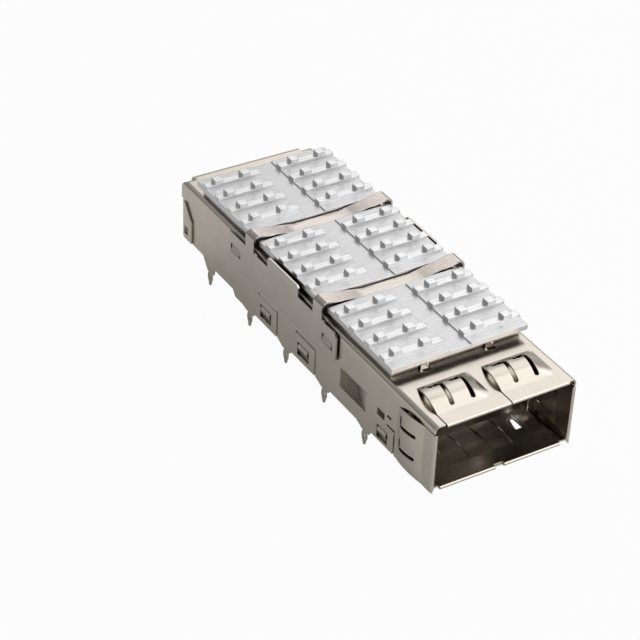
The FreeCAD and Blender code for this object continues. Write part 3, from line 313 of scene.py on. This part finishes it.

# Heat sink: a plate with cross ridges and studs, machined from aluminium and then blasted. It
# floats in the opening of the shell and is pressed down on a module by the clip.

# Blasted aluminium: a bright white satin metal, finely grained and faintly mottled, with cutter
# lines along the ridges. The tops of ridges and studs are rubbed smoother and get a painted
# highlight, their corners are worn bright with a painted highlight, and painted shade lies deep
# in the gaps.
DULL_SINK = "#F1F1F1"
BRIGHT_SINK = "#F9F9F9"
GRIT_PIT = "#D2D2D4"
RUBBED_TOP_HIGHLIGHT = "#FAFAFA"
CUTTER_LINE = "#C4C4C8"
RUBBED_CORNER_AND_HIGHLIGHT = "#FBFBFB"
GAP_PAINTED_SHADE = "#2A2622"
MOTTLE_MM = 1.6
# Real blast pits and cutter lines are well under 0.1 mm, too fine to show in the render, so both
# are drawn as coarse as these widths.
GRIT_MM = 0.14
CUT_MM = 0.16
CUT_RUN_MM = 2.4
GRIT_DEPTH_MM = 0.02
CORNER_MM = 0.14
# The gaps are wider than those of the sheet, so the distance that shuts a place in is too.
GAP_MM = 3.0
# The rubbing, and the painted highlight with it, starts above the ground between the ridges,
# which is at 11.35 mm, and is full below their tops, which are at 11.77 mm.
RUBBED_FROM_MM = 11.50
RUBBED_FULL_MM = 11.60
RUBBED_AND_HIGHLIT_MOST = 0.65
RUBBED_ROUGHNESS = 0.26
blasted, tree, place = bare_material("blasted_aluminium")
grit = add(tree, "ShaderNodeTexNoise", {
    "Vector": place, "Scale": 1 / (GRIT_MM * MM), "Detail": 3.0, "Roughness": 0.6})
mottle = add(tree, "ShaderNodeTexNoise", {
    "Vector": place, "Scale": 1 / (MOTTLE_MM * MM), "Detail": 5.0, "Roughness": 0.6})
along_ridges = add(tree, "ShaderNodeMapping", {"Vector": place, "Scale": (
    1 / (CUT_RUN_MM * MM), 1 / (CUT_MM * MM), 1 / (CUT_MM * MM))})
cutter_lines = add(tree, "ShaderNodeTexNoise", {
    "Vector": along_ridges.outputs[0], "Scale": 1.0, "Detail": 3.0})
rounded, edge = worn_and_highlit_edges(tree, CORNER_MM, most=0.8)
tone = add(tree, "ShaderNodeMapRange", {
    "Value": mottle.outputs[0], "From Min": 0.3, "From Max": 0.7})
body_colour = add(tree, "ShaderNodeMix", {
    SHARE: tone.outputs[0], UNDER: linear(DULL_SINK), OVER: linear(BRIGHT_SINK)},
    data_type="RGBA")
pits = add(tree, "ShaderNodeMapRange", {
    "Value": grit.outputs[0], "From Min": 0.40, "From Max": 0.66, "To Max": 0.55})
grit_colour = add(tree, "ShaderNodeMix", {
    SHARE: pits.outputs[0], UNDER: body_colour.outputs[MIXED], OVER: linear(GRIT_PIT)},
    data_type="RGBA")
level = add(tree, "ShaderNodeSeparateXYZ", {0: place})
raised = add(tree, "ShaderNodeMapRange", {
    "Value": level.outputs["Z"], "From Min": RUBBED_FROM_MM * MM,
    "From Max": RUBBED_FULL_MM * MM})
shape = add(tree, "ShaderNodeNewGeometry")
upward = add(tree, "ShaderNodeSeparateXYZ", {0: shape.outputs["Normal"]})
lying = add(tree, "ShaderNodeMapRange", {
    "Value": upward.outputs["Z"], "From Min": 0.7, "From Max": 0.95})
tops = add(tree, "ShaderNodeMath", {0: raised.outputs[0], 1: lying.outputs[0]},
           operation="MULTIPLY")
rubbed_and_highlit = add(tree, "ShaderNodeMath", {0: tops.outputs[0], 1: RUBBED_AND_HIGHLIT_MOST}, operation="MULTIPLY")
# Painted highlight: the upward faces of ridge and stud tops are coloured brighter.
highlit_top_colour = add(tree, "ShaderNodeMix", {
    SHARE: rubbed_and_highlit.outputs[0], UNDER: grit_colour.outputs[MIXED], OVER: linear(RUBBED_TOP_HIGHLIGHT)},
    data_type="RGBA")
scored = add(tree, "ShaderNodeMapRange", {
    "Value": cutter_lines.outputs[0], "From Min": 0.45, "From Max": 0.70, "To Max": 0.4})
scored_colour = add(tree, "ShaderNodeMix", {
    SHARE: scored.outputs[0], UNDER: highlit_top_colour.outputs[MIXED], OVER: linear(CUTTER_LINE)},
    data_type="RGBA")
# Painted highlight: the worn corners are coloured brighter.
edge_colour = add(tree, "ShaderNodeMix", {
    SHARE: edge, UNDER: scored_colour.outputs[MIXED], OVER: linear(RUBBED_CORNER_AND_HIGHLIGHT)},
    data_type="RGBA")
# Painted shade: deep in the gaps, where the sink is shut in, its colour goes near black.
shelter = add(tree, "ShaderNodeAmbientOcclusion", {"Distance": GAP_MM * MM}, samples=8)
painted_shade_share = add(tree, "ShaderNodeMapRange", {
    "Value": shelter.outputs["AO"], "From Min": 0.30, "From Max": 0.50, "To Min": 0.95,
    "To Max": 0.0})
painted_shade_colour = add(tree, "ShaderNodeMix", {
    SHARE: painted_shade_share.outputs[0], UNDER: edge_colour.outputs[MIXED], OVER: linear(GAP_PAINTED_SHADE)},
    data_type="RGBA")
satin = add(tree, "ShaderNodeMapRange", {
    "Value": mottle.outputs[0], "From Min": 0.3, "From Max": 0.7, "To Min": 0.36, "To Max": 0.46})
# A Mix node for plain values has other inputs than one for colours.
UNDER_VALUE, OVER_VALUE = 2, 3
gloss = add(tree, "ShaderNodeMix", {
    SHARE: rubbed_and_highlit.outputs[0], UNDER_VALUE: satin.outputs[0], OVER_VALUE: RUBBED_ROUGHNESS})
grain = add(tree, "ShaderNodeBump", {
    "Strength": 0.35, "Distance": GRIT_DEPTH_MM * MM, "Height": grit.outputs[0],
    "Normal": rounded})
metal = add(tree, "ShaderNodeBsdfPrincipled", {
    "Base Color": painted_shade_colour.outputs[MIXED], "Metallic": 1.0, "Roughness": gloss.outputs[0],
    "Normal": grain.outputs[0]})
add(tree, "ShaderNodeOutputMaterial", {"Surface": metal.outputs[0]})
nodes["heat_sink"].data.materials.clear()
nodes["heat_sink"].data.materials.append(blasted)

# Heat sink clip: two straps over the sink and a plate along each wall, bent from one spring
# strip. The catches of the walls hold its windows, and the straps press on the sink's grooves.

# Corners of two triangles are at the same place where they agree to this many digits of a
# metre, a tenth of a micrometre.
SAME_PLACE_DIGITS = 7


def merged_copy(name, node, crisp_degrees):
    """A new object with the node's triangles, where corners at the same place are one vertex, so
    that gentle bends shade as one smooth surface and edges sharper than the angle stay crisp."""
    source = nodes[node].data
    places = np.empty(len(source.vertices) * 3, np.float32)
    source.vertices.foreach_get("co", places)
    corners = np.empty(len(source.loops), np.int32)
    source.loops.foreach_get("vertex_index", corners)
    merged, numbers = np.unique(places.reshape(-1, 3).round(SAME_PLACE_DIGITS), axis=0,
                                return_inverse=True)
    made = mesh_object(name, merged, numbers.reshape(-1)[corners].reshape(-1, 3))
    made.data.shade_smooth()
    made.data.set_sharp_from_angle(angle=np.radians(crisp_degrees))
    return made


# Each strap has a kink on either side of its middle. An edge is added to the left and right of
# each kink, so that the smooth shading turns there and the slopes beyond it stay flat.
CRISP_DEGREES = 25
KINK_MM = 3.5
KINK_SOFT_MM = 1.0
strip = merged_copy("heat_sink_clip_strip", "heat_sink_clip", CRISP_DEGREES)
cut = bmesh.new()
cut.from_mesh(strip.data)
for kink_mm in (-KINK_MM, KINK_MM):
    for beside_mm in (kink_mm - KINK_SOFT_MM, kink_mm + KINK_SOFT_MM):
        bmesh.ops.bisect_plane(cut, geom=cut.verts[:] + cut.edges[:] + cut.faces[:],
                               plane_co=(beside_mm * MM, 0.0, 0.0), plane_no=(1.0, 0.0, 0.0))
cut.to_mesh(strip.data)
cut.free()

# Spring steel, hard rolled: a slightly pinkish grey satin metal, darker than the shell, with long
# rolling lines along the straps and a sheared edge brightened by a painted highlight.
DULL_STRIP = "#DAD1CA"
BRIGHT_STRIP = "#E4DCD5"
STEEL_LINE = "#B7ADA5"
STEEL_EDGE_AND_HIGHLIGHT = "#E6DFD8"
STEEL_CLOUD_MM = 4.0
# Here too the real lines are too fine to show in the render, so they are drawn coarser.
STEEL_LINE_MM = 0.08
STEEL_RUN_MM = 5.0
STEEL_EDGE_MM = 0.08
spring_steel, tree, place = bare_material("rolled_spring_steel")
clouds = add(tree, "ShaderNodeTexNoise", {
    "Vector": place, "Scale": 1 / (STEEL_CLOUD_MM * MM), "Detail": 4.0, "Roughness": 0.55})
along_straps = add(tree, "ShaderNodeMapping", {"Vector": place, "Scale": (
    1 / (STEEL_RUN_MM * MM), 1 / (STEEL_LINE_MM * MM), 1 / (STEEL_LINE_MM * MM))})
rolling = add(tree, "ShaderNodeTexNoise", {
    "Vector": along_straps.outputs[0], "Scale": 1.0, "Detail": 3.0})
rounded, edge = worn_and_highlit_edges(tree, STEEL_EDGE_MM, most=1.0)
tone = add(tree, "ShaderNodeMapRange", {
    "Value": clouds.outputs[0], "From Min": 0.3, "From Max": 0.7})
strip_colour = add(tree, "ShaderNodeMix", {
    SHARE: tone.outputs[0], UNDER: linear(DULL_STRIP), OVER: linear(BRIGHT_STRIP)},
    data_type="RGBA")
lines = add(tree, "ShaderNodeMapRange", {
    "Value": rolling.outputs[0], "From Min": 0.35, "From Max": 0.65, "To Max": 0.4})
lined_colour = add(tree, "ShaderNodeMix", {
    SHARE: lines.outputs[0], UNDER: strip_colour.outputs[MIXED], OVER: linear(STEEL_LINE)},
    data_type="RGBA")
# Painted highlight: the sheared edge is coloured brighter.
edge_colour = add(tree, "ShaderNodeMix", {
    SHARE: edge, UNDER: lined_colour.outputs[MIXED], OVER: linear(STEEL_EDGE_AND_HIGHLIGHT)},
    data_type="RGBA")
gloss = add(tree, "ShaderNodeMapRange", {
    "Value": rolling.outputs[0], "From Min": 0.3, "From Max": 0.7, "To Min": 0.14,
    "To Max": 0.21})
grain = add(tree, "ShaderNodeBump", {
    "Strength": 0.12, "Distance": LINE_DEPTH_MM * MM, "Height": rolling.outputs[0],
    "Normal": rounded})
metal = add(tree, "ShaderNodeBsdfPrincipled", {
    "Base Color": edge_colour.outputs[MIXED], "Metallic": 1.0, "Roughness": gloss.outputs[0],
    "Normal": grain.outputs[0]})
add(tree, "ShaderNodeOutputMaterial", {"Surface": metal.outputs[0]})
strip.data.materials.append(spring_steel)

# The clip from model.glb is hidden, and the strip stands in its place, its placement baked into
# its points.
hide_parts("heat_sink_clip")
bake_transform(strip)
